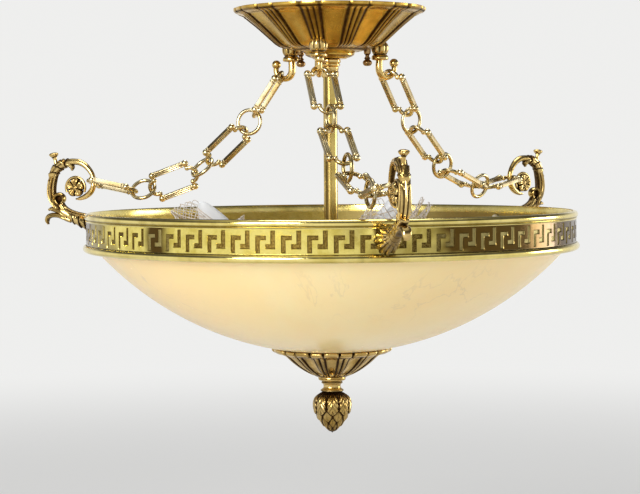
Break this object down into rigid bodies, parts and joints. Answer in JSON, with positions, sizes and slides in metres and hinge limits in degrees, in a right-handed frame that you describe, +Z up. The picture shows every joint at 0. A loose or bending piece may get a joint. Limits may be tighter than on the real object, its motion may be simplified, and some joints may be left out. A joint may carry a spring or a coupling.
{
  "type": "pendant light",
  "caption": "Chain pendant light: a veined glass bowl in a patterned brass band with scroll arms, hung from a fluted ceiling canopy by a stem and chains.",
  "frame": {"origin": "centre of the canopy's rim, on the ceiling plane, at the middle of the mounting strap's two screw slots", "axes": "+Z up along the stem, towards the ceiling; -Y towards the arm nearest the viewer; +X to the viewer's right"},
  "size_m": [0.5044, 0.5158, 0.3879],
  "materials": {
    "polished_brass": "polished",
    "cast_brass": "satin, antiqued in the hollows",
    "aged_brass": "dark antique",
    "steel": "plated",
    "bowl_glass": "polished, clouded and veined",
    "frosted_glass": "frosted",
    "cap_metal": "plain",
    "net_plastic": "matte",
    "soft_washer": "matte",
    "socket_ceramic": "matte",
    "wire_sleeving": "matte"
  },
  "bodies": {
    "fixture": {"mounting_strap": "steel", "threaded_nipple": "polished_brass", "nipple_nut": "steel", "canopy": "cast_brass", "stem_coupling": "polished_brass", "stem_tube": "polished_brass", "chain_hook_1": "cast_brass", "chain_hook_2": "cast_brass", "chain_hook_3": "cast_brass", "hook_knobs": "aged_brass", "hook_nuts": "steel", "key_band": "polished_brass", "top_moulding": "polished_brass", "bottom_moulding": "polished_brass", "scroll_arm_1": "cast_brass", "scroll_arm_2": "cast_brass", "scroll_arm_3": "cast_brass", "arm_screws": "steel", "glass_bowl": "bowl_glass", "bowl_washer": "soft_washer", "bowl_nut": "polished_brass", "bottom_cup": "cast_brass", "centre_rod": "steel", "socket_hub": "polished_brass", "socket_branches": "polished_brass", "lamp_sockets": "socket_ceramic", "feed_wires": "wire_sleeving"},
    "chain_1": {"chain_1_link_a": "polished_brass", "chain_1_link_b": "polished_brass", "chain_1_link_c": "polished_brass", "chain_1_link_d": "polished_brass"},
    "chain_1_ring_1_body": {"chain_1_ring_1": "polished_brass"},
    "chain_1_ring_2_body": {"chain_1_ring_2": "polished_brass"},
    "chain_1_ring_3_body": {"chain_1_ring_3": "polished_brass"},
    "bulb_1": {"bulb_glass_1": "frosted_glass", "bulb_cap_1": "cap_metal", "net_sleeve_1": "net_plastic"},
    "chain_2": {"chain_2_link_a": "polished_brass", "chain_2_link_b": "polished_brass", "chain_2_link_c": "polished_brass", "chain_2_link_d": "polished_brass"},
    "chain_2_ring_1_body": {"chain_2_ring_1": "polished_brass"},
    "chain_2_ring_2_body": {"chain_2_ring_2": "polished_brass"},
    "chain_2_ring_3_body": {"chain_2_ring_3": "polished_brass"},
    "bulb_2": {"bulb_glass_2": "frosted_glass", "bulb_cap_2": "cap_metal", "net_sleeve_2": "net_plastic"},
    "chain_3": {"chain_3_link_a": "polished_brass", "chain_3_link_b": "polished_brass", "chain_3_link_c": "polished_brass", "chain_3_link_d": "polished_brass"},
    "chain_3_ring_1_body": {"chain_3_ring_1": "polished_brass"},
    "chain_3_ring_2_body": {"chain_3_ring_2": "polished_brass"},
    "chain_3_ring_3_body": {"chain_3_ring_3": "polished_brass"},
    "bulb_3": {"bulb_glass_3": "frosted_glass", "bulb_cap_3": "cap_metal", "net_sleeve_3": "net_plastic"},
    "collar": {"canopy_collar": "cast_brass"},
    "finial": {"finial_neck": "cast_brass", "pine_cone": "cast_brass"}
  },
  "joints": [
    {"name": "collar_turn", "type": "hinge", "parent": "fixture", "child": "collar", "pos_m": [0, 0, -0.0495], "axis": [0, 0, 1], "continuous": true},
    {"name": "finial_turn", "type": "hinge", "parent": "fixture", "child": "finial", "pos_m": [0, 0, -0.33693], "axis": [0, 0, 1], "continuous": true},
    {"name": "chain_1_swing", "type": "hinge", "parent": "fixture", "child": "chain_1", "pos_m": [-0.0207, -0.05409, -0.05638], "axis": [0.096, -0.8803, -0.4646], "range_deg": [-10, 10]},
    {"name": "chain_1_ring_1_turn", "type": "hinge", "parent": "chain_1", "child": "chain_1_ring_1_body", "pos_m": [-0.01724, -0.08572, -0.10179], "axis": [-0.9941, -0.1084, 0], "continuous": true},
    {"name": "chain_1_ring_2_turn", "type": "hinge", "parent": "chain_1", "child": "chain_1_ring_2_body", "pos_m": [-0.01225, -0.1315, -0.14379], "axis": [-0.9941, -0.1084, 0], "continuous": true},
    {"name": "chain_1_ring_3_turn", "type": "hinge", "parent": "chain_1", "child": "chain_1_ring_3_body", "pos_m": [-0.00592, -0.18954, -0.16441], "axis": [-0.9941, -0.1084, 0], "continuous": true},
    {"name": "chain_2_swing", "type": "hinge", "parent": "fixture", "child": "chain_2", "pos_m": [0.05719, 0.00912, -0.05638], "axis": [0.7143, 0.5233, -0.4646], "range_deg": [-10, 10]},
    {"name": "chain_2_ring_1_turn", "type": "hinge", "parent": "chain_2", "child": "chain_2_ring_1_body", "pos_m": [0.08286, 0.02793, -0.10179], "axis": [0.4987, -0.8622, -0.0887], "continuous": true},
    {"name": "chain_2_ring_2_turn", "type": "hinge", "parent": "chain_2", "child": "chain_2_ring_2_body", "pos_m": [0.12001, 0.05514, -0.14379], "axis": [0.4678, -0.8601, -0.2034], "continuous": true},
    {"name": "chain_2_ring_3_turn", "type": "hinge", "parent": "chain_2", "child": "chain_2_ring_3_body", "pos_m": [0.16711, 0.08964, -0.16441], "axis": [0.5335, -0.774, -0.3409], "continuous": true},
    {"name": "chain_3_swing", "type": "hinge", "parent": "fixture", "child": "chain_3", "pos_m": [-0.03649, 0.04497, -0.05638], "axis": [-0.8104, 0.357, -0.4646], "range_deg": [-10, 10]},
    {"name": "chain_3_ring_1_turn", "type": "hinge", "parent": "chain_3", "child": "chain_3_ring_1_body", "pos_m": [-0.06561, 0.0578, -0.10179], "axis": [0.5194, 0.8473, -0.1107], "continuous": true},
    {"name": "chain_3_ring_2_turn", "type": "hinge", "parent": "chain_3", "child": "chain_3_ring_2_body", "pos_m": [-0.10776, 0.07636, -0.14379], "axis": [0.6338, 0.2999, -0.713], "continuous": true},
    {"name": "chain_3_ring_3_turn", "type": "hinge", "parent": "chain_3", "child": "chain_3_ring_3_body", "pos_m": [-0.16119, 0.0999, -0.16441], "axis": [0.3442, 0.6475, -0.6799], "continuous": true},
    {"name": "bulb_1_turn", "type": "hinge", "parent": "fixture", "child": "bulb_1", "pos_m": [0.02206, -0.06997, -0.24963], "axis": [0.1594, -0.5054, 0.848], "continuous": true},
    {"name": "bulb_2_turn", "type": "hinge", "parent": "fixture", "child": "bulb_2", "pos_m": [0.04957, 0.05409, -0.24963], "axis": [0.358, 0.3907, 0.848], "continuous": true},
    {"name": "bulb_3_turn", "type": "hinge", "parent": "fixture", "child": "bulb_3", "pos_m": [-0.07163, 0.01588, -0.24963], "axis": [-0.5174, 0.1147, 0.848], "continuous": true}
  ]
}
